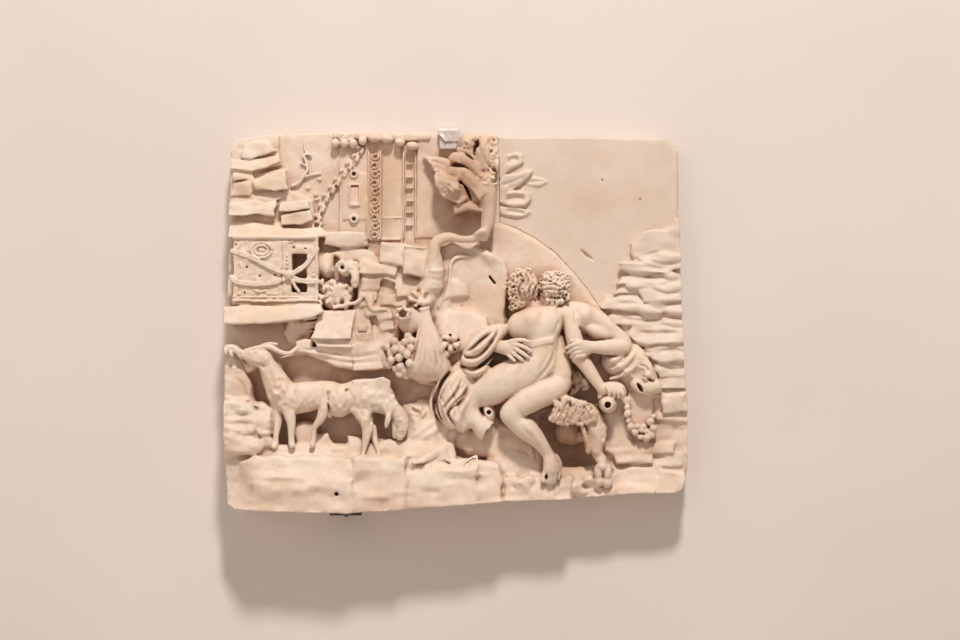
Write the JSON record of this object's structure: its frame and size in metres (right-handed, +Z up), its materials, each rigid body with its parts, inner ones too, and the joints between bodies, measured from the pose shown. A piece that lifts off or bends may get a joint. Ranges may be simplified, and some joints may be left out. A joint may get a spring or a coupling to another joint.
{
  "type": "stone relief panel",
  "caption": "Carved marble relief panel with a rustic scene of a shrine, goats, fruit and an embracing couple, held on a wall by a clip and a bracket.",
  "frame": {"origin": "centre of the flat back face, where the panel meets the wall", "axes": "+Z up, +X to the right seen from the front, +Y out of the back face into the wall, so the carving faces -Y"},
  "size_m": [0.514, 0.087, 0.4288],
  "materials": {
    "aged_marble": "worn marble, matt, with brown and ochre stains",
    "new_marble": "smooth pale marble, faintly stained",
    "steel": "dull grey steel"
  },
  "bodies": {
    "root": {"relief_slab": "aged_marble", "restored_corner": "new_marble", "top_clip": "steel", "bottom_bracket": "steel"}
  },
  "joints": []
}
